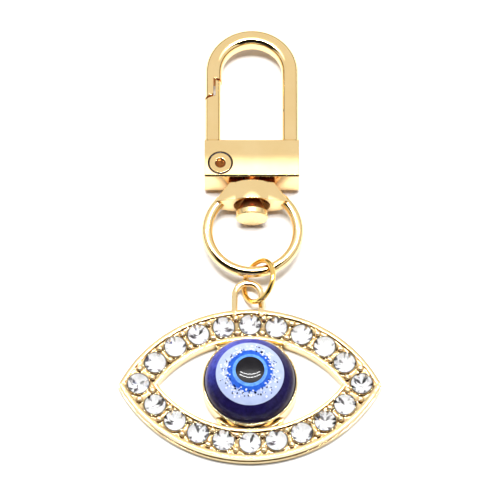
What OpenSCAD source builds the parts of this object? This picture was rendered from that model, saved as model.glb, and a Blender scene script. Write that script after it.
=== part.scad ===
/* [Clasp] */
// Distance from the clasp's middle line to each leg's middle line
leg_spread = 5.15; // [4.8:0.05:5.15]
// Width of the bow's bar, seen from the front
bar_w = 2.26; // [1.8:0.02:2.26]
// Depth of the bow's bar, from front to back
bar_d = 2.6; // [2.3:0.05:3.1]
// Radius that rounds the bar's four edges
bar_edge_r = 0.85; // [0.4:0.05:0.85]
// Centre of the bow's round end, along the clasp
bow_centre_y = 24.9; // [24.3:0.05:27]
// Width of the block that the bow stands on
block_w = 12.6; // [12:0.1:14]
// Thickness of the block, which lies flat on its back
block_t = 5.2; // [4.8:0.1:6]
// The block's lower face, along the clasp
block_y0 = 8.45; // [8.3:0.05:8.9]
// The block's upper face, along the clasp
block_y1 = 13.95; // [13.4:0.05:14.5]
// Bevel along the block's front edges
block_bevel = 0.4; // [0.1:0.05:0.8]

/* [Gate] */
// Distance from the clasp's middle line to the gate's pin
pin_offset = 4.2; // [4:0.05:4.4]
// Height of the gate's pin, along the clasp
pin_y = 10.4; // [10.3:0.05:10.6]
// Radius of the gate's pin
pin_r = 0.75; // [0.6:0.05:0.8]
// Radius of the pin's head, which lies flush with the block's front
pin_head_r = 1.45; // [1.2:0.05:1.5]
// Width of the gate's bar
gate_w = 2.1; // [1.8:0.05:2.1]
// Where the gate's shoulder meets the nose, along the clasp
gate_shoulder_y = 21.1; // [19.5:0.05:21.2]
// Top of the gate's tongue, along the clasp
gate_top_y = 23.45; // [22.6:0.05:23.5]
// Wire diameter of the gate's spring
spring_wire = 0.28; // [0.2:0.02:0.3]

/* [Swivel ring] */
// Radius of the swivel ring, to the middle of its wire
ring_r = 6.05; // [5.8:0.05:6.3]
// Diameter of the swivel ring's wire
ring_wire = 1.47; // [1.2:0.01:1.6]
// Length of the ring's boss, along the swivel's axis
boss_l = 2.6; // [2.2:0.05:2.7]
// Half of the width of the boss's front
boss_half_w = 3.1; // [2.9:0.05:3.3]
// Half of the width across the boss's shoulders
shoulder_half_w = 4.75; // [4.5:0.05:4.9]
// Radius of the swivel rivet's head
rivet_head_r = 2.14; // [1.9:0.02:2.3]
// Radius of the swivel rivet's neck
rivet_neck_r = 1; // [0.8:0.05:1.1]

/* [Jump ring] */
// Radius of the jump ring, to the middle of its wire
jump_r = 2.85; // [2.8:0.01:2.9]
// Diameter of the jump ring's wire
jump_wire = 0.72; // [0.6:0.02:0.74]
// Lean of the jump ring as it lies, with its right side up
jump_lean = 48; // [47:0.5:49]

/* [Eye pendant] */
// Radius of the arc that the stones lie along
stone_arc_r = 17; // [16.8:0.05:17.2]
// Distance from the eye's middle line to that arc's centre
arc_drop = 8.5; // [8.3:0.05:8.6]
// From the stones' arc out to the eye's edge
edge_out = 2.25; // [2.1:0.05:2.5]
// From the stones' arc in to the side openings
edge_in = 2.05; // [1.9:0.05:2.1]
// Thickness of the eye's frame
frame_t = 1.8; // [1.6:0.05:2.2]
// Depth of the channel that the stones stand in
channel_depth = 0.45; // [0.2:0.05:0.6]
// Outer radius of the bezel around the bead
bezel_r = 6.3; // [6.2:0.05:6.4]
// Height of the bezel
bezel_h = 2.5; // [2.2:0.05:2.8]
// Outer radius of the loop on top of the eye
loop_r = 2.22; // [2.16:0.02:2.24]
// Width of the loop's band
loop_band = 0.86; // [0.6:0.02:0.88]

/* [Stones] */
// Diameter of one stone
stone_d = 2.78; // [2.4:0.02:2.9]
// Angle between neighbouring stones on their arc
stone_step = 11.83; // [11.6:0.01:12.1]
// Radius of the small beads that hold the stones
prong_r = 0.44; // [0.3:0.02:0.5]

/* [Bead] */
// Radius of the bead
bead_r = 5.95; // [5.7:0.05:5.95]
// Height of the dome's top above the table
bead_top = 6.5; // [6:0.05:7]
// Radius of the curve that takes the bead's side into its dome
bead_edge_r = 2.5; // [1.8:0.1:2.6]
// Outer radius of the white ring
white_r = 4.5; // [4.2:0.05:4.8]
// Outer radius of the blue iris
iris_r = 2.92; // [2.7:0.02:3.2]
// Outer radius of the pale ring around the pupil
pale_r = 2.32; // [2.1:0.02:2.5]
// Radius of the pupil
pupil_r = 1.9; // [1.6:0.02:2]
// Thickness of each coloured layer
layer_t = 0.5; // [0.3:0.05:0.8]

/* [Hidden] */
$fn = 64;
big = 60;

// Stones: the upper row runs from tip to tip, and the lower row lies between the tips.
upper_stones = 11;
lower_stones = 9;
stone_count = upper_stones + lower_stones;

// The eye's centre and the loop's centre, before everything is centred along Y.
eye_y = -20.26;
loop_x = -0.27;
loop_y = eye_y + 12.95;

// The whole is centred on the table under it, so these bring it there.
edge_r = stone_arc_r + edge_out;
flange_out = 0.12;
eye_half_h = edge_r + flange_out - arc_drop;
bow_top_y = bow_centre_y + leg_spread + bar_w / 2;
shift_y = -(bow_top_y + eye_y - eye_half_h) / 2;

// The clasp's middle line, and the swivel's axis along it.
clasp_x = 0.25;
axis_z = block_t / 2;
fit_gap = 0.05;
tight_gap = 0.01;

// Gate: its slot in the block, its hub round the pin and its joint with the nose.
gate_x = -leg_spread - 0.08;
slot_x1 = -2.15;
slot_y0 = pin_y - 1.42;
slot_half = bar_d / 2 + 0.06;
hub_r = 1.3;
hub_z0 = axis_z - 0.1;
split_x = -leg_spread - 0.02;
joint_gap = 0.3;
shoulder_slope = 0.45;
head_t = 0.5;
head_gap = 0.14;
dimple_r = 0.72;

// Spring: turns round the pin, from the slot's wall to the gate.
spring_turns = 2.75;
spring_r = pin_r + 0.3;
spring_pitch = spring_wire + 0.03;
spring_z0 = axis_z - slot_half + spring_wire / 2 + 0.04;
spring_sides = 8;
spring_leg = 2.6;
spring_steps = 44;

// Swivel ring: its boss and countersink, and the rivet through them.
ring_x = 0.35;
ring_y = 1.6;
boss_y1 = 7.93;
boss_y0 = boss_y1 - boss_l;
boss_face_r = 3.75;
shoulder_y = 5.7;
shoulder_z = 2.1;
shoulder_face_r = 12;
sink_r = axis_z - 0.16;
sink_l = 1.3;
rivet_y0 = 3.37;
rivet_head_t = 1.15;
rivet_cone_l = 1.75;
rivet_end_y = block_y0 + 2.6;

// Jump ring
jump_pos = [1.15, -5.73, 2.5];
jump_cut = 1.2;
jump_cut_at = 150;

// Eye frame
flange_t = 0.8;
groove_t = 0.15;
groove_in = 0.1;
rim_w = 0.55;
inner_rim_w = 0.45;
inner_r = stone_arc_r - edge_in;
web_half = 4.4;
web_t = 1;
web_bottom_t = 0.7;
bead_seat_z = 0.6;
loop_z0 = 0.95;
loop_hole_r = loop_r - loop_band;

// Stones
stone_r = stone_d / 2;
girdle_z = 1.8;
girdle_t = 0.12;
table_z = 2.42;
culet_z = 0.85;
stone_gap = 0.02;
cup_w = 0.17;
cup_z0 = 0.5;
tip_angle = acos(arc_drop / stone_arc_r);
prong_out = 1.08;
prong_z = frame_t - channel_depth + 0.3;

// Bead
dome_h = bead_top - bezel_h;
edge_x = bead_r - bead_edge_r;
dome_r = (edge_x * edge_x + dome_h * dome_h - bead_edge_r * bead_edge_r) / (2 * (dome_h - bead_edge_r));
dome_z = bead_top - dome_r;
dome_angle = atan2(edge_x, bezel_h - dome_z);

// Angle of the k-th stone from the middle of its row; the outermost sit in the tips.
function stone_angle(k) = abs(k) == (upper_stones - 1) / 2 ? sign(k) * tip_angle : k * stone_step;
// Place on the upper arc, or on the lower arc with side = -1, a little outside or inside it.
function on_arc(angle, side, out = 0) =
    [(stone_arc_r + out) * sin(angle), side * ((stone_arc_r + out) * cos(angle) - arc_drop)];
function stone_side(i) = i <= upper_stones ? 1 : -1;
function stone_rank(i) =
    i <= upper_stones ? i - 1 - (upper_stones - 1) / 2 : i - upper_stones - 1 - (lower_stones - 1) / 2;
function stone_place(i) = on_arc(stone_angle(stone_rank(i)), stone_side(i));

// Points along the gate's spring: a leg on the slot's wall, the turns, and a leg on the gate.
function spring_point(turn) = [
    spring_r * cos(90 + turn * 360),
    spring_r * sin(90 + turn * 360),
    spring_z0 + turn * spring_pitch
];
spring_first = [slot_x1 + pin_offset - spring_wire / 2 - 0.02, spring_r, spring_z0];
spring_last = [
    gate_x + gate_w / 2 + pin_offset + spring_wire / 2 + 0.03,
    spring_leg,
    spring_z0 + spring_turns * spring_pitch
];
spring_path = concat(
    [spring_first],
    [for (k = [0 : spring_steps]) spring_point(k / spring_steps * spring_turns)],
    [spring_last]
);

function unit(v) = v / norm(v);
function path_way(p, i) = unit(p[min(i + 1, len(p) - 1)] - p[max(i - 1, 0)]);
function path_ring(p, i, r, sides) =
    let (way = path_way(p, i), across = unit(cross([0, 0, 1], way)), up = cross(way, across))
    [for (a = [0 : sides - 1]) p[i] + r * (across * cos(360 * a / sides) + up * sin(360 * a / sides))];

// Round wire along a list of points
module wire(p, r, sides) {
    points = [for (i = [0 : len(p) - 1]) each path_ring(p, i, r, sides)];
    last = (len(p) - 1) * sides;
    walls = [for (i = [0 : len(p) - 2]) for (a = [0 : sides - 1])
        [i * sides + a, i * sides + (a + 1) % sides,
         (i + 1) * sides + (a + 1) % sides, (i + 1) * sides + a]];
    ends = [[for (a = [sides - 1 : -1 : 0]) a], [for (a = [0 : sides - 1]) last + a]];
    polyhedron(points, concat(ends, walls));
}

// Rectangle with round corners, centred
module rounded(w, d, r) {
    square([w - 2 * r, d], center = true);
    square([w, d - 2 * r], center = true);
    for (x = [-1, 1], y = [-1, 1])
        translate([x * (w / 2 - r), y * (d / 2 - r)]) circle(r);
}

// Bar of a given section, which runs along +Y
module bar(w, d, r, length) {
    rotate([-90, 0, 0]) linear_extrude(length) rounded(w, d, r);
}

// Everything on the clasp stands on its middle line, at the height of its axis
module on_clasp() {
    translate([clasp_x, shift_y, axis_z]) children();
}

module on_eye() {
    translate([0, eye_y + shift_y, 0]) children();
}

// Block: its section along the clasp, with a bevel on each long edge
module block() {
    z = block_t / 2;
    b = block_bevel;
    section = [
        [block_y0 + 2 * b, -z], [block_y1 - b, -z], [block_y1, -z + b], [block_y1, z - b / 2],
        [block_y1 - b / 2, z], [block_y0 + b / 2, z], [block_y0, z - b / 2], [block_y0, -z + 2 * b]
    ];
    translate([-block_w / 2, 0, 0]) rotate([90, 0, 90]) linear_extrude(block_w) polygon(section);
}

// Bow: right leg, round end and the nose that the gate closes on
module bow() {
    leg_y0 = block_y1 - 0.6;
    translate([leg_spread, leg_y0, 0]) bar(bar_w, bar_d, bar_edge_r, bow_centre_y - leg_y0);
    translate([0, bow_centre_y, 0])
        rotate_extrude(angle = 180) translate([leg_spread, 0]) rounded(bar_w, bar_d, bar_edge_r);
    difference() {
        nose_y0 = gate_shoulder_y - 1.5;
        translate([-leg_spread, nose_y0, 0])
            bar(bar_w, bar_d, bar_edge_r, bow_centre_y - nose_y0);
        gate_room();
    }
}

// Room that the nose leaves for the gate's shoulder and tongue
module gate_room() {
    top = gate_top_y + joint_gap;
    step = gate_shoulder_y + joint_gap;
    outline = [
        [-big, 0], [big, 0], [big, top - 0.45], [split_x + 0.5, top - 0.1], [split_x, top],
        [split_x, step], [split_x - 1.2, step - 1.2 * shoulder_slope], [-big, step - 1.2]
    ];
    translate([0, 0, -big / 2]) linear_extrude(big) polygon(outline);
}

module hook_body() {
    color("#ecc987") on_clasp() difference() {
        union() {
            block();
            bow();
        }
        // Slot that the gate's foot turns in, open at the side and on top
        translate([-block_w, slot_y0, -slot_half])
            cube([block_w + slot_x1, block_y1 - slot_y0 + 1, 2 * slot_half]);
        // Hole for the gate's pin and recess for its head
        translate([-pin_offset, pin_y, -big / 2]) cylinder(r = pin_r + tight_gap, h = big);
        translate([-pin_offset, pin_y, axis_z - head_t - tight_gap])
            cylinder(r = pin_head_r + head_gap, h = big);
        // Blind hole for the swivel rivet
        translate([0, block_y0 - 1, 0]) rotate([-90, 0, 0])
            cylinder(r = rivet_neck_r + tight_gap, h = rivet_end_y - block_y0 + 1.02);
    }
}

module gate() {
    tongue_x0 = split_x + joint_gap;
    bar_x0 = gate_x - gate_w / 2;
    outline = [
        [bar_x0 - 1, pin_y], [big, pin_y], [big, gate_top_y - 0.45],
        [split_x + 0.5, gate_top_y - 0.1], [tongue_x0, gate_top_y - 0.02],
        [tongue_x0, gate_shoulder_y], [split_x - 1.2, gate_shoulder_y - 1.2 * shoulder_slope],
        [bar_x0 - 1, gate_shoulder_y - 1.2 * shoulder_slope]
    ];
    hub_h = bar_d / 2 + axis_z - hub_z0;
    color("#ecc987") on_clasp() difference() {
        union() {
            intersection() {
                translate([gate_x, pin_y, 0])
                    bar(gate_w, bar_d, bar_edge_r * 0.85, gate_top_y - pin_y);
                translate([0, 0, -big / 2]) linear_extrude(big) polygon(outline);
            }
            translate([-pin_offset, pin_y, bar_d / 2 - hub_h]) cylinder(r = hub_r, h = hub_h);
        }
        // Room for the spring's turns under the hub
        translate([-pin_offset, pin_y, -big + hub_z0 - axis_z]) cylinder(r = hub_r + 0.15, h = big);
        translate([-pin_offset, pin_y, -big / 2]) cylinder(r = pin_r + fit_gap, h = big);
    }
}

module gate_pin() {
    color("#e8c07a") on_clasp() translate([-pin_offset, pin_y, 0]) difference() {
        union() {
            translate([0, 0, -axis_z]) cylinder(r = pin_r, h = block_t);
            translate([0, 0, axis_z - head_t]) cylinder(r = pin_head_r, h = head_t);
        }
        // Punched dimple in the middle of the head
        translate([0, 0, axis_z - 0.3]) cylinder(r1 = dimple_r * 0.85, r2 = dimple_r, h = 0.31);
    }
}

module gate_spring() {
    color("#b9bcc0") translate([clasp_x - pin_offset, pin_y + shift_y, 0])
        wire(spring_path, spring_wire / 2, spring_sides);
}

module swivel_rivet() {
    r = rivet_head_r;
    cone_y = rivet_y0 + rivet_head_t;
    outline = [
        [0, rivet_y0], [r - 0.12, rivet_y0], [r, rivet_y0 + 0.12], [r, cone_y - 0.35],
        [r - 0.2, cone_y], [rivet_neck_r, cone_y + rivet_cone_l],
        [rivet_neck_r, rivet_end_y], [0, rivet_end_y]
    ];
    color("#ecc987") on_clasp() rotate([-90, 0, 0]) rotate_extrude() polygon(outline);
}

// Outline with a broad arc in front and behind, seen along the swivel's axis
module lens(half_w, half_d, face_r) {
    intersection() {
        square([2 * half_w, 2 * half_d], center = true);
        translate([0, face_r - half_d]) circle(face_r, $fn = 120);
        translate([0, half_d - face_r]) circle(face_r, $fn = 120);
    }
}

// Boss: its round front, and the flatter shoulders that spread down to the wire
module boss() {
    front = [
        [boss_half_w - 0.15, boss_y1], [shoulder_half_w, shoulder_y],
        [shoulder_half_w, boss_y0 + 0.1], [boss_half_w, boss_y0]
    ];
    mirrored = [for (i = [len(front) - 1 : -1 : 0]) [-front[i][0], front[i][1]]];
    translate([0, boss_y1, 0]) rotate([90, 0, 0]) linear_extrude(boss_l)
        lens(boss_half_w, axis_z, boss_face_r);
    intersection() {
        translate([0, boss_y1, 0]) rotate([90, 0, 0]) linear_extrude(boss_l)
            lens(shoulder_half_w, shoulder_z, shoulder_face_r);
        translate([0, 0, -axis_z]) linear_extrude(block_t) polygon(concat(front, mirrored));
    }
}

module swivel_ring() {
    color("#ecc987") difference() {
        union() {
            translate([ring_x, ring_y + shift_y, axis_z])
                rotate_extrude() translate([ring_r, 0]) circle(ring_wire / 2);
            on_clasp() boss();
        }
        // The wire stops at the boss's outer face
        on_clasp() translate([-big / 2, boss_y1, -big / 2]) cube(big);
        on_clasp() rotate([-90, 0, 0]) {
            cylinder(r = rivet_neck_r + fit_gap, h = big);
            translate([0, 0, boss_y0 - 1]) cylinder(r = sink_r, h = 1);
            translate([0, 0, boss_y0])
                cylinder(r1 = sink_r, r2 = rivet_neck_r + fit_gap, h = sink_l);
        }
    }
}

module jump_ring() {
    color("#e3b04a") translate(jump_pos + [0, shift_y, 0]) rotate([0, -jump_lean, 0])
        rotate([0, 0, jump_cut_at]) rotate_extrude(angle = 360 - jump_cut)
            translate([jump_r, 0]) circle(jump_wire / 2);
}

// Eye's outline: the lens between two equal arcs
module eye(r) {
    intersection() {
        translate([0, -arc_drop]) circle(r, $fn = 180);
        translate([0, arc_drop]) circle(r, $fn = 180);
    }
}

// Loop's section: a flat band with round edges
module loop_section() {
    d = frame_t - loop_z0;
    translate([0, loop_z0 + d / 2]) rounded(loop_band, d, min(loop_band, d) / 2 - 0.01);
}

module loop() {
    leg_l = 3.2;
    translate([loop_x, loop_y - eye_y, 0]) {
        rotate_extrude(angle = 180) translate([loop_r - loop_band / 2, 0]) loop_section();
        for (side = [-1, 1])
            translate([side * (loop_r - loop_band / 2), 0, 0]) rotate([90, 0, 0])
                linear_extrude(leg_l) loop_section();
    }
}

module bezel() {
    c = 0.12;
    outline = [
        [bead_r - 0.6, 0], [bezel_r, 0], [bezel_r, bezel_h - c], [bezel_r - c, bezel_h],
        [bead_r + tight_gap, bezel_h], [bead_r + tight_gap, bead_seat_z], [bead_r - 0.6, bead_seat_z]
    ];
    rotate_extrude($fn = 120) polygon(outline);
}

// Beads that hold the stones, on both sides of each gap along one row
module prongs(side) {
    half = (upper_stones - 1) / 2;
    for (k = [-half : half - 1], out = [-prong_out, prong_out]) {
        angle = (stone_angle(k) + stone_angle(k + 1)) / 2;
        p = on_arc(angle, side, out);
        translate([p[0], p[1], prong_z]) sphere(prong_r, $fn = 24);
    }
}

// Thin round walls that the stones sit in
module cups() {
    for (i = [1 : stone_count])
        translate(concat(stone_place(i), [cup_z0])) cylinder(r = stone_r + cup_w, h = girdle_z - cup_z0);
}

module eye_frame() {
    floor_z = frame_t - channel_depth;
    color("#ecc987") on_eye() difference() {
        union() {
            difference() {
                union() {
                    linear_extrude(flange_t) eye(edge_r + flange_out);
                    linear_extrude(flange_t + groove_t) eye(edge_r - groove_in);
                    translate([0, 0, flange_t + groove_t])
                        linear_extrude(frame_t - flange_t - groove_t) eye(edge_r);
                }
                translate([0, 0, floor_z]) linear_extrude(big) difference() {
                    eye(edge_r - rim_w);
                    eye(inner_r + inner_rim_w);
                }
                translate([0, 0, web_t]) linear_extrude(big) eye(inner_r);
                // The two side openings
                translate([0, 0, -1]) linear_extrude(big) difference() {
                    eye(inner_r);
                    square([2 * web_half, big], center = true);
                    circle(bezel_r - 0.1, $fn = 120);
                }
            }
            cylinder(r = bezel_r - 0.1, h = bead_seat_z, $fn = 120);
            bezel();
            loop();
            prongs(1);
            prongs(-1);
            cups();
        }
        translate([0, 0, bead_seat_z]) cylinder(r = bead_r + tight_gap, h = big, $fn = 120);
        for (i = [1 : stone_count])
            translate(concat(stone_place(i), [culet_z - 0.05]))
                cylinder(r = stone_r + stone_gap, h = big);
    }
}

// Bead's half section: a straight side in the bezel, a round edge and the dome
module bead_section() {
    intersection() {
        union() {
            square([bead_r, bezel_h]);
            translate([edge_x, bezel_h]) circle(bead_edge_r);
            intersection() {
                translate([0, dome_z]) circle(dome_r, $fn = 180);
                polygon([[0, dome_z], [big * sin(dome_angle), dome_z + big * cos(dome_angle)], [0, big]]);
            }
        }
        translate([0, bead_seat_z]) square([bead_r, big]);
    }
}

// Part of the bead's outer layer, between two radii
module layer_section(r0, r1) {
    intersection() {
        difference() {
            translate([0, dome_z]) circle(dome_r, $fn = 180);
            translate([0, dome_z]) circle(dome_r - layer_t, $fn = 180);
        }
        translate([r0, bead_seat_z]) square([r1 - r0, big]);
    }
}

module bead_base() {
    color("#241c6e") on_eye() rotate_extrude($fn = 120) difference() {
        bead_section();
        layer_section(0, white_r);
    }
}

module bead_layer(r0, r1, shade) {
    color(shade) on_eye() rotate_extrude($fn = 120) layer_section(r0, r1);
}

module stone(i) {
    outline = [
        [0, culet_z], [stone_r, girdle_z], [stone_r, girdle_z + girdle_t],
        [stone_r * 0.58, table_z], [0, table_z]
    ];
    color("#eef2f6") on_eye() translate(concat(stone_place(i), [0]))
        rotate_extrude($fn = 32) polygon(outline);
}

hook_body();
gate();
gate_pin();
gate_spring();
swivel_rivet();
swivel_ring();
jump_ring();
eye_frame();
bead_base();
bead_layer(iris_r, white_r, "#c9cfee");  // bead_white_ring
bead_layer(pale_r, iris_r, "#2050c0");  // bead_iris
bead_layer(pupil_r, pale_r, "#7aa5e8");  // bead_pale_ring
bead_layer(0, pupil_r, "#16141a");  // bead_pupil
for (i = [1 : stone_count]) stone(i);
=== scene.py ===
"""Evil eye bag charm on a white table: gold clasp, swivel ring, jump ring and a rhinestone eye pendant."""
import math
import random

import bmesh
import bpy
from mathutils import Matrix, Vector


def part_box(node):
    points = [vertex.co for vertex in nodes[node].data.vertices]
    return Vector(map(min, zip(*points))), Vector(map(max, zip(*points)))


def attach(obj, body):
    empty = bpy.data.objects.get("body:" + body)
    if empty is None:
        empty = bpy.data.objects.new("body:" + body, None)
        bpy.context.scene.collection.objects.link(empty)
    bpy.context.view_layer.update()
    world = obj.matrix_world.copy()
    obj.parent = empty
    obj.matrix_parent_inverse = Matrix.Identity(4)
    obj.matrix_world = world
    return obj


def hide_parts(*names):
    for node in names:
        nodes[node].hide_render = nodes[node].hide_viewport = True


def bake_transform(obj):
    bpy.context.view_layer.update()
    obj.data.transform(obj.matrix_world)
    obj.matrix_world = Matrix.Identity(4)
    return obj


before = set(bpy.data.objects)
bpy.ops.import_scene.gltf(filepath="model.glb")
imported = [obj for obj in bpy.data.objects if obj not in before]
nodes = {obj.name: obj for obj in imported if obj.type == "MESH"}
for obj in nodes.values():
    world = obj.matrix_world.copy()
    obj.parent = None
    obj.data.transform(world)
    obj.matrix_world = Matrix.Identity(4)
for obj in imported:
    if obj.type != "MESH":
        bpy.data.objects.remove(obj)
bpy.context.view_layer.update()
MM = 0.001
STONES = sorted((n for n in nodes if n.startswith("stone_")), key=lambda n: int(n.split("_")[1]))

# Light and deep tone of the plating on the clasp and the ring
PALE_GOLD = ((0.94, 0.70, 0.35), (0.91, 0.66, 0.31))
# Stretches along Y over which the block's and the boss's front faces are crowned, and the lean at both ends
BLOCK_FRONT = (8.4 * MM, 14 * MM)
BOSS_FRONT = (5.0 * MM, 7.2 * MM)
CROWN_LEAN = (math.radians(-4.5), math.radians(1.5))
PIN_DIMPLE_RADIUS = 0.72 * MM
# Height of a stone's girdle over its culet, as a share of the stone's height
GIRDLE_AT = 0.605
# Distance of a stone's facet corners from its axis, as shares of its radius
TABLE_RADIUS = 0.56
STAR_RADIUS = 0.80
MAIN_RADIUS = 0.42
FLAKE_COUNT = 210
FLAKE_HALF_THICKNESS = 0.02 * MM


# ---------------------------------------------------------------- places and pieces

def half_width(node):
    low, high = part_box(node)
    return (high.x - low.x) / 2


def middle(node):
    low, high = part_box(node)
    return (low + high) / 2


def mesh_from(bm, name):
    """Close a bmesh and return it as a mesh."""
    mesh = bpy.data.meshes.new(name)
    bm.to_mesh(mesh)
    bm.free()
    return mesh


def add_piece(mesh, body):
    """Show a mesh as a piece that rides on a CAD body, with the materials its mesh already holds."""
    piece = bpy.data.objects.new(mesh.name, mesh)
    bpy.context.collection.objects.link(piece)
    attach(piece, body)
    return piece


# ---------------------------------------------------------------- camera and studio

def make_camera():
    distance = 0.9
    elevation = math.radians(65)
    view_width = 66.67 * MM
    # Point of the table in the middle of the picture
    target = Vector((0, -0.025 * MM, 0))
    data = bpy.data.cameras.new("camera")
    data.sensor_width = 36
    data.lens = data.sensor_width * distance / view_width
    data.clip_start = 0.01
    camera = bpy.data.objects.new("camera", data)
    bpy.context.collection.objects.link(camera)
    away = Vector((0, -math.cos(elevation), math.sin(elevation)))
    camera.location = target + away * distance
    camera.rotation_euler = away.to_track_quat("Z", "Y").to_euler()
    bpy.context.scene.camera = camera


def softbox(name, place, aim, size, power):
    data = bpy.data.lights.new(name, "AREA")
    data.shape = "RECTANGLE"
    data.size, data.size_y = size
    data.energy = power
    light = bpy.data.objects.new(name, data)
    bpy.context.collection.objects.link(light)
    light.location = place
    light.rotation_euler = (Vector(place) - Vector(aim)).to_track_quat("Z", "Y").to_euler()
    light.visible_camera = False
    return light


def make_lights():
    """Two bent tube lights overhead, whose ends curve away from the camera."""
    height = 0.35
    part_length = 0.056
    tube_width = 0.010
    part_power = 0.26
    bend = 3.2
    for lean in (2, 9):
        for step in (-2, -1, 0, 1, 2):
            x = step * part_length * 0.95
            y = height * math.tan(math.radians(lean)) + bend * x * x
            name = "tube_%d_%d" % (lean, step + 2)
            light = softbox(name, (x, y, height), (x, y, 0), (part_length, tube_width), part_power)
            light.rotation_euler.z = math.atan(2 * bend * x)


def math_node(tree, operation, first, second=None):
    node = tree.nodes.new("ShaderNodeMath")
    node.operation = operation
    for socket, value in zip(node.inputs, (first, second)):
        if isinstance(value, (int, float)):
            socket.default_value = value
        elif value is not None:
            tree.links.new(value, socket)
    return node.outputs[0]


def smooth_step(tree, value, start, end, low=0.0, high=1.0):
    node = tree.nodes.new("ShaderNodeMapRange")
    node.interpolation_type = "SMOOTHSTEP"
    node.inputs["From Min"].default_value = start
    node.inputs["From Max"].default_value = end
    node.inputs["To Min"].default_value = low
    node.inputs["To Max"].default_value = high
    tree.links.new(value, node.inputs["Value"])
    return node.outputs["Result"]


def window(tree, value, start, end, soft):
    """1 between start and end, 0 outside, with soft edges."""
    rise = smooth_step(tree, value, start - soft, start)
    fall = smooth_step(tree, value, end, end + soft, 1.0, 0.0)
    return math_node(tree, "MULTIPLY", rise, fall)


def patch(tree, across_lean, across_x, strength):
    """Strength where two windows overlap, 0 elsewhere."""
    overlap = math_node(tree, "MULTIPLY", across_lean, across_x)
    return math_node(tree, "MULTIPLY", overlap, strength)


def make_world():
    """A white light tent with a bright strip overhead, a low strip and a dark slot for the camera.

    Places in it are given by lean, in degrees from straight up towards +Y, and by x of the direction.
    """
    world = bpy.data.worlds.new("tent")
    bpy.context.scene.world = world
    world.use_nodes = True
    tree = world.node_tree
    tree.nodes.clear()
    out = tree.nodes.new("ShaderNodeOutputWorld")
    back = tree.nodes.new("ShaderNodeBackground")
    way = tree.nodes.new("ShaderNodeTexCoord").outputs["Generated"]
    split = tree.nodes.new("ShaderNodeSeparateXYZ")
    tree.links.new(way, split.inputs[0])
    x, y, z = (split.outputs[axis] for axis in "XYZ")
    lean = math_node(tree, "MULTIPLY", math_node(tree, "ARCTAN2", y, z), math.degrees(1))
    tent = smooth_step(tree, z, 0.06, 0.4, 0.1, 0.95)
    strip = patch(tree, window(tree, lean, 1, 19, 5), window(tree, x, -0.5, 0.5, 0.1), 1.9)
    lit = math_node(tree, "ADD", tent, strip)
    low_strip = patch(tree, window(tree, lean, -77, -75, 1), window(tree, x, -0.35, 0.35, 0.05), 2.0)
    lit = math_node(tree, "ADD", lit, low_strip)
    slot = patch(tree, window(tree, lean, -70, -6, 3), window(tree, x, -0.8, 0.5, 0.06), 0.985)
    open_part = math_node(tree, "SUBTRACT", 1.0, slot)
    tree.links.new(math_node(tree, "MULTIPLY", lit, open_part), back.inputs["Strength"])
    back.inputs["Color"].default_value = (1.0, 0.99, 0.97, 1)
    tree.links.new(back.outputs[0], out.inputs[0])


def make_floor():
    bm = bmesh.new()
    bmesh.ops.create_grid(bm, x_segments=1, y_segments=1, size=0.6)
    mesh = mesh_from(bm, "table_top")
    floor = bpy.data.objects.new("table_top", mesh)
    bpy.context.collection.objects.link(floor)
    floor.location.z = -0.01 * MM
    mat = bpy.data.materials.new("white_table")
    mat.use_nodes = True
    shader = mat.node_tree.nodes["Principled BSDF"]
    shader.inputs["Base Color"].default_value = (0.74, 0.735, 0.73, 1)
    shader.inputs["Roughness"].default_value = 0.6
    mesh.materials.append(mat)


# ---------------------------------------------------------------- materials

def new_material(name):
    mat = bpy.data.materials.new(name)
    mat.use_nodes = True
    tree = mat.node_tree
    return mat, tree, tree.nodes["Principled BSDF"]


def noise(tree, scale, detail=3.0, rough=0.5):
    """Noise whose scale is in waves per metre of the object."""
    place = tree.nodes.new("ShaderNodeTexCoord")
    node = tree.nodes.new("ShaderNodeTexNoise")
    node.inputs["Scale"].default_value = scale
    node.inputs["Detail"].default_value = detail
    node.inputs["Roughness"].default_value = rough
    tree.links.new(place.outputs["Object"], node.inputs["Vector"])
    return node


def ramp_between(tree, source, stops):
    ramp = tree.nodes.new("ShaderNodeValToRGB")
    elements = ramp.color_ramp.elements
    while len(elements) < len(stops):
        elements.new(0.5)
    for element, (at, colour) in zip(elements, stops):
        element.position = at
        element.color = (*colour, 1)
    tree.links.new(source, ramp.inputs["Fac"])
    return ramp


def spread(tree, source, low, high):
    node = tree.nodes.new("ShaderNodeMapRange")
    node.inputs["To Min"].default_value = low
    node.inputs["To Max"].default_value = high
    tree.links.new(source, node.inputs["Value"])
    return node


def bump(tree, source, height):
    node = tree.nodes.new("ShaderNodeBump")
    node.inputs["Distance"].default_value = height
    node.inputs["Strength"].default_value = 1.0
    tree.links.new(source, node.inputs["Height"])
    return node


def from_centre(tree, centre):
    """Object coordinates measured from a point of the object."""
    place = tree.nodes.new("ShaderNodeTexCoord")
    shift = tree.nodes.new("ShaderNodeVectorMath")
    shift.operation = "SUBTRACT"
    shift.inputs[1].default_value = centre
    tree.links.new(place.outputs["Object"], shift.inputs[0])
    return shift.outputs["Vector"]


def flat_radius(tree, centre):
    """Distance from the vertical line through a point."""
    flat = tree.nodes.new("ShaderNodeVectorMath")
    flat.operation = "MULTIPLY"
    flat.inputs[1].default_value = (1, 1, 0)
    tree.links.new(from_centre(tree, centre), flat.inputs[0])
    length = tree.nodes.new("ShaderNodeVectorMath")
    length.operation = "LENGTH"
    tree.links.new(flat.outputs["Vector"], length.inputs[0])
    return length.outputs["Value"]


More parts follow.
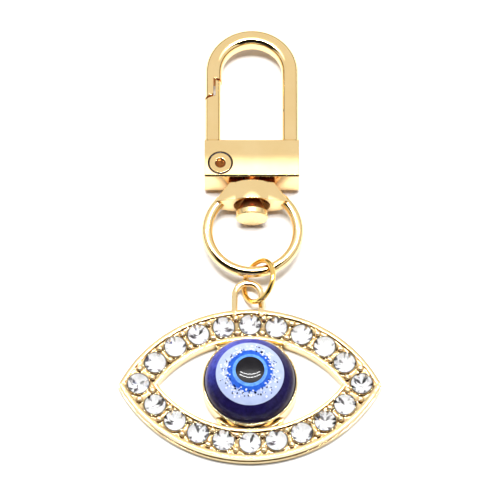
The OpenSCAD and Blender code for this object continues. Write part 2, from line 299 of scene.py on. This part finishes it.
def mix_colours(tree, share, first, second):
    """Blend of two colours; each is a socket or a plain colour."""
    node = tree.nodes.new("ShaderNodeMix")
    node.data_type = "RGBA"
    tree.links.new(share, node.inputs["Factor"])
    for socket, colour in ((node.inputs[6], first), (node.inputs[7], second)):
        if isinstance(colour, tuple):
            socket.default_value = (*colour, 1)
        else:
            tree.links.new(colour, socket)
    return node.outputs[2]


def crevice(tree, reach, start, end):
    """1 in open places, falling to 0 where walls closer than reach hide most of the sky: the mask of painted
    shade.
    """
    painted_shade = tree.nodes.new("ShaderNodeAmbientOcclusion")
    painted_shade.samples = 6
    painted_shade.inputs["Distance"].default_value = reach
    return smooth_step(tree, painted_shade.outputs["AO"], start, end)


def plated_gold(
    name,
    light,
    deep,
    rough=(0.03, 0.07),
    edge=0.12 * MM,
    # colour of the painted shade
    painted_shade=(0.62, 0.29, 0.08),
    reach=2.0 * MM,
    crown=None,
):
    """Polished plating over a casting: colour drift, soft edges and a faint ripple.

    Crevices narrower than reach, and faces close to the table, turn to the shade colour, which is painted
    shade.
    crown is (y0, y1): a front face between them is slightly crowned, as polished blocks are.
    """
    mat, tree, shader = new_material(name)
    drift = noise(tree, 260, 2)
    colour = ramp_between(tree, drift.outputs["Fac"], [(0.3, deep), (0.7, light)])
    # Painted shade: the plating turns to the shade colour where near walls or the table hide the sky
    unshaded_share = crevice(tree, reach, 0.1, 0.85)
    plated = mix_colours(tree, unshaded_share, painted_shade, colour.outputs["Color"])
    tree.links.new(plated, shader.inputs["Base Color"])
    shader.inputs["Metallic"].default_value = 1.0
    cloud = noise(tree, 900, 4, 0.6)
    gloss = spread(tree, cloud.outputs["Fac"], *rough)
    tree.links.new(gloss.outputs["Result"], shader.inputs["Roughness"])
    waves = noise(tree, 420, 2, 0.4)
    dents = bump(tree, waves.outputs["Fac"], 0.004 * MM)
    soft = tree.nodes.new("ShaderNodeBevel")
    soft.samples = 4
    soft.inputs["Radius"].default_value = edge
    face = soft.outputs["Normal"]
    if crown:
        face = crowned(tree, face, *crown)
    tree.links.new(face, dents.inputs["Normal"])
    tree.links.new(dents.outputs["Normal"], shader.inputs["Normal"])
    return mat


def crowned(tree, normal, y0, y1):
    """Lean a face's normal a few degrees along Y, more and more from y0 to y1."""
    place = tree.nodes.new("ShaderNodeTexCoord")
    split = tree.nodes.new("ShaderNodeSeparateXYZ")
    tree.links.new(place.outputs["Object"], split.inputs[0])
    rise = tree.nodes.new("ShaderNodeMapRange")
    rise.inputs["From Min"].default_value = y0
    rise.inputs["From Max"].default_value = y1
    rise.inputs["To Min"].default_value, rise.inputs["To Max"].default_value = CROWN_LEAN
    tree.links.new(split.outputs["Y"], rise.inputs["Value"])
    lean = tree.nodes.new("ShaderNodeCombineXYZ")
    tree.links.new(rise.outputs["Result"], lean.inputs["Y"])
    total = tree.nodes.new("ShaderNodeVectorMath")
    total.operation = "ADD"
    tree.links.new(normal, total.inputs[0])
    tree.links.new(lean.outputs["Vector"], total.inputs[1])
    unit = tree.nodes.new("ShaderNodeVectorMath")
    unit.operation = "NORMALIZE"
    tree.links.new(total.outputs["Vector"], unit.inputs[0])
    return unit.outputs["Vector"]


def gloss_coat(shader):
    shader.inputs["Roughness"].default_value = 0.3
    shader.inputs["Specular IOR Level"].default_value = 0.05
    shader.inputs["Coat Weight"].default_value = 0.5
    shader.inputs["Coat IOR"].default_value = 1.28
    shader.inputs["Coat Roughness"].default_value = 0.015


def resin(name, light, deep, scale=900):
    """Glossy poured resin with a slight cloud in its colour."""
    mat, tree, shader = new_material(name)
    cloud = noise(tree, scale, 4, 0.6)
    colour = ramp_between(tree, cloud.outputs["Fac"], [(0.3, deep), (0.7, light)])
    tree.links.new(colour.outputs["Color"], shader.inputs["Base Color"])
    gloss_coat(shader)
    return mat


def navy_glass(name, centre, radius):
    """Deep blue with painted light: lighter towards its upper left side, as tinted glass is where light
    comes through.
    """
    mat, tree, shader = new_material(name)
    along = tree.nodes.new("ShaderNodeVectorMath")
    along.operation = "DOT_PRODUCT"
    along.inputs[1].default_value = (-0.55, 0.83, 0.1)
    tree.links.new(from_centre(tree, centre), along.inputs[0])
    # Painted light: share of the lighter blue, growing towards the upper left
    lit = smooth_step(tree, along.outputs["Value"], 0.0, 0.95 * radius)
    cloud = noise(tree, 1500, 4, 0.7)
    cloud_share = cloud.outputs["Fac"]
    deep = ramp_between(tree, cloud_share, [(0.3, (0.004, 0.0025, 0.022)), (0.7, (0.010, 0.007, 0.055))])
    painted_glow = ramp_between(tree, cloud_share, [(0.3, (0.012, 0.015, 0.17)), (0.7, (0.05, 0.065, 0.42))])
    colour = mix_colours(tree, lit, deep.outputs["Color"], painted_glow.outputs["Color"])
    tree.links.new(colour, shader.inputs["Base Color"])
    gloss_coat(shader)
    return mat


def ragged_white(name, centre, inner):
    """White enamel that the blue of the iris has bled into along a ragged edge."""
    mat, tree, shader = new_material(name)
    cloud = noise(tree, 1100, 3)
    white = ramp_between(tree, cloud.outputs["Fac"], [(0.3, (0.25, 0.30, 0.47)), (0.7, (0.31, 0.36, 0.50))])
    rag = noise(tree, 2300, 3, 0.6)
    wander = spread(tree, rag.outputs["Fac"], -0.55 * MM, 0.55 * MM)
    reach = math_node(tree, "ADD", flat_radius(tree, centre), wander.outputs["Result"])
    clear = smooth_step(tree, reach, inner - 0.02 * MM, inner + 0.2 * MM)
    colour = mix_colours(tree, clear, (0.014, 0.07, 0.36), white.outputs["Color"])
    tree.links.new(colour, shader.inputs["Base Color"])
    gloss_coat(shader)
    return mat


def two_tone_pin(name, centre, dimple_radius):
    """Plated head with bare copper in its punched dimple."""
    mat = plated_gold(name, (0.93, 0.69, 0.34), (0.90, 0.65, 0.30))
    tree = mat.node_tree
    shader = tree.nodes["Principled BSDF"]
    plated = shader.inputs["Base Color"].links[0].from_socket
    outside = smooth_step(tree, flat_radius(tree, centre), dimple_radius * 0.92, dimple_radius * 1.02)
    bare = noise(tree, 4000, 3)
    tones = [(0.3, (0.20, 0.055, 0.012)), (0.7, (0.40, 0.14, 0.035))]
    copper = ramp_between(tree, bare.outputs["Fac"], tones)
    both = mix_colours(tree, outside, copper.outputs["Color"], plated)
    tree.links.new(both, shader.inputs["Base Color"])
    return mat


def crystal(name):
    """Clear cut glass with a trace of haze."""
    mat, tree, shader = new_material(name)
    shader.inputs["Base Color"].default_value = (1, 1, 1, 1)
    shader.inputs["Transmission Weight"].default_value = 1.0
    shader.inputs["IOR"].default_value = 1.56
    haze = noise(tree, 3000, 2)
    gloss = spread(tree, haze.outputs["Fac"], 0.0, 0.03)
    tree.links.new(gloss.outputs["Result"], shader.inputs["Roughness"])
    return mat


def foil(name, dark, light, rough=0.06, metal=1.0):
    """Thin bright backing or flake, clouded between two tones. With metal at 0 it is paint."""
    mat, tree, shader = new_material(name)
    cloud = noise(tree, 2500, 3)
    colour = ramp_between(tree, cloud.outputs["Fac"], [(0.3, dark), (0.7, light)])
    tree.links.new(colour.outputs["Color"], shader.inputs["Base Color"])
    shader.inputs["Metallic"].default_value = metal
    shader.inputs["Roughness"].default_value = rough
    return mat


def dress(node, mat):
    wear(nodes[node].data, mat)


def wear(mesh, mat):
    mesh.materials.clear()
    mesh.materials.append(mat)


# ---------------------------------------------------------------- rhinestones

def gem_mesh(name, low, high):
    """Round brilliant: table, star, kite and girdle facets above, mains and halves below.

    Facets above the girdle have material 0, the glass. Those below draw one of the foils 1 to 3: white
    paint that is a painted highlight, the mirror foil, or a dark foil that is painted shade.
    """
    centre = (low + high) / 2
    r = (high.x - low.x) / 2
    height = high.z - low.z
    girdle_z = low.z + height * GIRDLE_AT
    crown_z = girdle_z + height * 0.075
    crown = high.z - crown_z
    points = []

    def circle(count, radius, z, turn=0.0):
        for i in range(count):
            a = 2 * math.pi * (i + turn) / count
            points.append((centre.x + radius * math.cos(a), centre.y + radius * math.sin(a), z))

    star_z = crown_z + crown * 0.52
    main_z = girdle_z - (girdle_z - low.z) * 0.62
    circle(8, r * TABLE_RADIUS, high.z)
    circle(8, r * STAR_RADIUS, star_z, 0.5)
    circle(16, r, crown_z)
    circle(16, r, girdle_z)
    circle(8, r * MAIN_RADIUS, main_z, 0.5)
    points.append((centre.x, centre.y, low.z))
    bm = bmesh.new()
    for p in points:
        bm.verts.new(p)
    bmesh.ops.convex_hull(bm, input=bm.verts)
    bmesh.ops.dissolve_limit(bm, angle_limit=math.radians(1), verts=bm.verts, edges=bm.edges)
    rng = random.Random(name)
    for face in bm.faces:
        spot = face.calc_center_median()
        below = spot.z < girdle_z
        outer = (spot - Vector((centre.x, centre.y, spot.z))).length > r * 0.5
        # Outer facets draw the dark foil of painted shade more often, inner ones the painted highlight
        odds = (6, 3, 2) if outer else (8, 2, 1)
        face.material_index = rng.choices((1, 2, 3), odds)[0] if below else 0
        face.smooth = False
    return mesh_from(bm, name)


def make_stones(glass, foils):
    """Faceted stones in place of the plain CAD ones, each turned and tilted a little by chance."""
    rng = random.Random(11)
    for node in STONES:
        mesh = gem_mesh(node + "_cut", *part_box(node))
        for mat in (glass, *foils):
            mesh.materials.append(mat)
        centre = middle(node)
        turn = Matrix.Rotation(rng.uniform(0, math.pi / 4), 4, "Z")
        tilt = Matrix.Rotation(math.radians(rng.uniform(-2, 2)), 4, "X")
        mesh.transform(Matrix.Translation(centre) @ tilt @ turn @ Matrix.Translation(-centre))
        gem = add_piece(mesh, "pendant")
        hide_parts(node)


# ---------------------------------------------------------------- small pieces

def make_spring(steel):
    """The gate's spring: a copy of its CAD part in spring steel, shown in its place."""
    spring = bpy.data.objects.new("torsion_spring", nodes["gate_spring"].data.copy())
    bpy.context.collection.objects.link(spring)
    wear(spring.data, steel)
    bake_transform(spring)
    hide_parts("gate_spring")


def add_ring(bm, centre, profile, steps):
    """Closed ring with the given section of (radius, z) points, in order round the section."""
    rings = []
    for i in range(steps):
        a = 2 * math.pi * i / steps
        corners = [(centre.x + r * math.cos(a), centre.y + r * math.sin(a), z) for r, z in profile]
        rings.append([bm.verts.new(corner) for corner in corners])
    count = len(profile)
    for i in range(steps):
        here, after = rings[i], rings[(i + 1) % steps]
        for k in range(count):
            n = (k + 1) % count
            face = bm.faces.new((here[k], after[k], after[n], here[n]))
            face.smooth = True


def thin_section(inner, outer, bottom, top, soft=0.02 * MM):
    """Upright section with its two upper corners cut off."""
    return [
        (inner, bottom),
        (outer, bottom),
        (outer, top - soft),
        (outer - soft, top),
        (inner + soft, top),
        (inner, top - soft),
    ]


def add_shadow_rings(name, body, rings, dark):
    """One dark piece of painted shade made of rings, each given as its centre, its section and its steps."""
    bm = bmesh.new()
    for centre, section, steps in rings:
        add_ring(bm, centre, section, steps)
    bmesh.ops.recalc_face_normals(bm, faces=bm.faces)
    mesh = mesh_from(bm, name)
    mesh.materials.append(dark)
    add_piece(mesh, body)


def make_gap_shadows(dark):
    """Painted shade: dark rings in the gaps round the pin's head, the bead in its bezel and each stone in
    its cup.
    """
    head = half_width("gate_pin")
    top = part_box("gate_pin")[1].z
    section = thin_section(head - 0.01 * MM, head + 0.26 * MM, top - 0.45 * MM, top + 0.003 * MM, 0.01 * MM)
    add_shadow_rings("pin_gap_shadow", "clasp", [(middle("gate_pin"), section, 72)], dark)
    bead = half_width("bead_base")
    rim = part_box("eye_frame")[1].z
    section = thin_section(bead - 0.06 * MM, bead + 0.15 * MM, rim - 0.1 * MM, rim + 0.04 * MM)
    add_shadow_rings("bead_gap_shadow", "pendant", [(middle("bead_base"), section, 120)], dark)
    rings = []
    for node in STONES:
        low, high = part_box(node)
        r = half_width(node)
        girdle_z = low.z + (high.z - low.z) * GIRDLE_AT
        section = thin_section(r + 0.005 * MM, r + 0.12 * MM, girdle_z - 0.1 * MM, girdle_z + 0.05 * MM)
        rings.append((middle(node), section, 40))
    add_shadow_rings("stone_gap_shadows", "pendant", rings, dark)


def dome_height(radius):
    """Height of the bead's dome over the table at a distance from its axis.

    Its sphere goes through the dome's top and the white ring's top, which is at the iris's edge.
    """
    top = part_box("bead_pupil")[1].z
    edge = half_width("bead_iris")
    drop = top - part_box("bead_white_ring")[1].z
    sphere = (edge * edge + drop * drop) / (2 * drop)
    return top - sphere + math.sqrt(sphere * sphere - radius * radius)


def add_flake(bm, spot, turn, size, finish):
    """Thin hexagon of foil round a spot."""
    rings = []
    for height in (-FLAKE_HALF_THICKNESS, FLAKE_HALF_THICKNESS):
        corners = []
        for k in range(6):
            a = math.pi * k / 3
            corner = Vector((size * math.cos(a), size * math.sin(a), height))
            corners.append(bm.verts.new(spot + turn @ corner))
        rings.append(corners)
    faces = [bm.faces.new(list(reversed(rings[0]))), bm.faces.new(rings[1])]
    for k in range(6):
        n = (k + 1) % 6
        faces.append(bm.faces.new((rings[0][k], rings[0][n], rings[1][n], rings[1][k])))
    for face in faces:
        face.material_index = finish


def make_glitter(centre, finishes):
    """Hexagonal flakes of foil, scattered over the white ring and thickest along the iris."""
    rng = random.Random(5)
    bm = bmesh.new()
    for _ in range(FLAKE_COUNT):
        radius = rng.triangular(2.6, 4.2, 3.15) * MM
        angle = rng.uniform(0, 2 * math.pi)
        size = rng.uniform(0.07, 0.17) * MM
        flat = Vector((radius * math.cos(angle), radius * math.sin(angle), 0))
        spot = Vector((centre.x + flat.x, centre.y + flat.y, dome_height(radius)))
        out = (flat + Vector((0, 0, radius * 1.4))).normalized()
        lean = Vector((rng.uniform(-0.3, 0.3), rng.uniform(-0.3, 0.3), 0))
        turn = (out + lean).to_track_quat("Z", "Y").to_matrix()
        finish = rng.choices((0, 1, 2), (6, 2, 3))[0]
        add_flake(bm, spot, turn, size, finish)
    mesh = mesh_from(bm, "bead_glitter")
    for finish in finishes:
        mesh.materials.append(finish)
    add_piece(mesh, "pendant")


# ---------------------------------------------------------------- the object

def dress_metal():
    block_gold = plated_gold("block_gold", *PALE_GOLD, crown=BLOCK_FRONT)
    dress("hook_body", block_gold)
    dress("gate", block_gold)
    dress("swivel_ring", plated_gold("pale_gold", *PALE_GOLD, edge=0.16 * MM, crown=BOSS_FRONT))
    dress("swivel_rivet", plated_gold("satin_gold", *PALE_GOLD, rough=(0.24, 0.32)))
    # Dark painted shade in corners narrower than 0.45 mm, for dark lines along the frame's rims
    cream = plated_gold(
        "cream_gold",
        (0.93, 0.75, 0.44),
        (0.90, 0.70, 0.38),
        edge=0.28 * MM,
        painted_shade=(0.13, 0.07, 0.03),
        reach=0.45 * MM,
    )
    dress("eye_frame", cream)
    dress("gate_pin", two_tone_pin("pin_gold", middle("gate_pin"), PIN_DIMPLE_RADIUS))
    dress("jump_ring", plated_gold("yellow_gold", (0.92, 0.64, 0.21), (0.88, 0.57, 0.16)))
    make_spring(foil("spring_steel", (0.5, 0.5, 0.52), (0.66, 0.67, 0.69)))


def dress_bead():
    eye = middle("bead_base")
    dress("bead_base", navy_glass("navy_resin", eye, half_width("bead_base")))
    dress("bead_white_ring", ragged_white("white_resin", eye, half_width("bead_iris")))
    dress("bead_iris", resin("blue_resin", (0.016, 0.08, 0.40), (0.008, 0.04, 0.26), 2200))
    dress("bead_pale_ring", resin("pale_blue_resin", (0.10, 0.25, 0.52), (0.04, 0.13, 0.42), 2200))
    dress("bead_pupil", resin("black_resin", (0.006, 0.0055, 0.007), (0.003, 0.0025, 0.004)))


def dress_stones():
    # Of the three foils only the mirror is the stones' real backing: the white paint is a painted highlight
    # and the dark foil painted shade
    bright = foil("foil_painted_highlight", (0.84, 0.84, 0.85), (0.95, 0.95, 0.95), 0.35, 0.0)
    mirror = foil("foil_mirror", (0.80, 0.80, 0.82), (0.92, 0.92, 0.93), 0.05)
    painted_shade = foil("foil_shade", (0.10, 0.09, 0.10), (0.22, 0.20, 0.22), 0.1)
    make_stones(crystal("crystal"), (bright, mirror, painted_shade))


def scatter_flakes():
    silver = foil("flake_silver", (0.36, 0.38, 0.44), (0.66, 0.68, 0.74), 0.4, 0.0)
    blue = foil("flake_blue", (0.10, 0.22, 0.60), (0.25, 0.40, 0.85))
    shadow = foil("flake_shadow", (0.02, 0.02, 0.05), (0.08, 0.09, 0.14))
    make_glitter(middle("bead_base"), (silver, blue, shadow))


def main():
    make_camera()
    make_world()
    make_floor()
    make_lights()
    bpy.context.scene.view_settings.view_transform = "Standard"
    dress_metal()
    dress_bead()
    dress_stones()
    # Dark rings of painted shade in the gaps
    make_gap_shadows(resin("painted_shade_in_gaps", (0.018, 0.007, 0.003), (0.006, 0.002, 0.001)))
    scatter_flakes()


main()
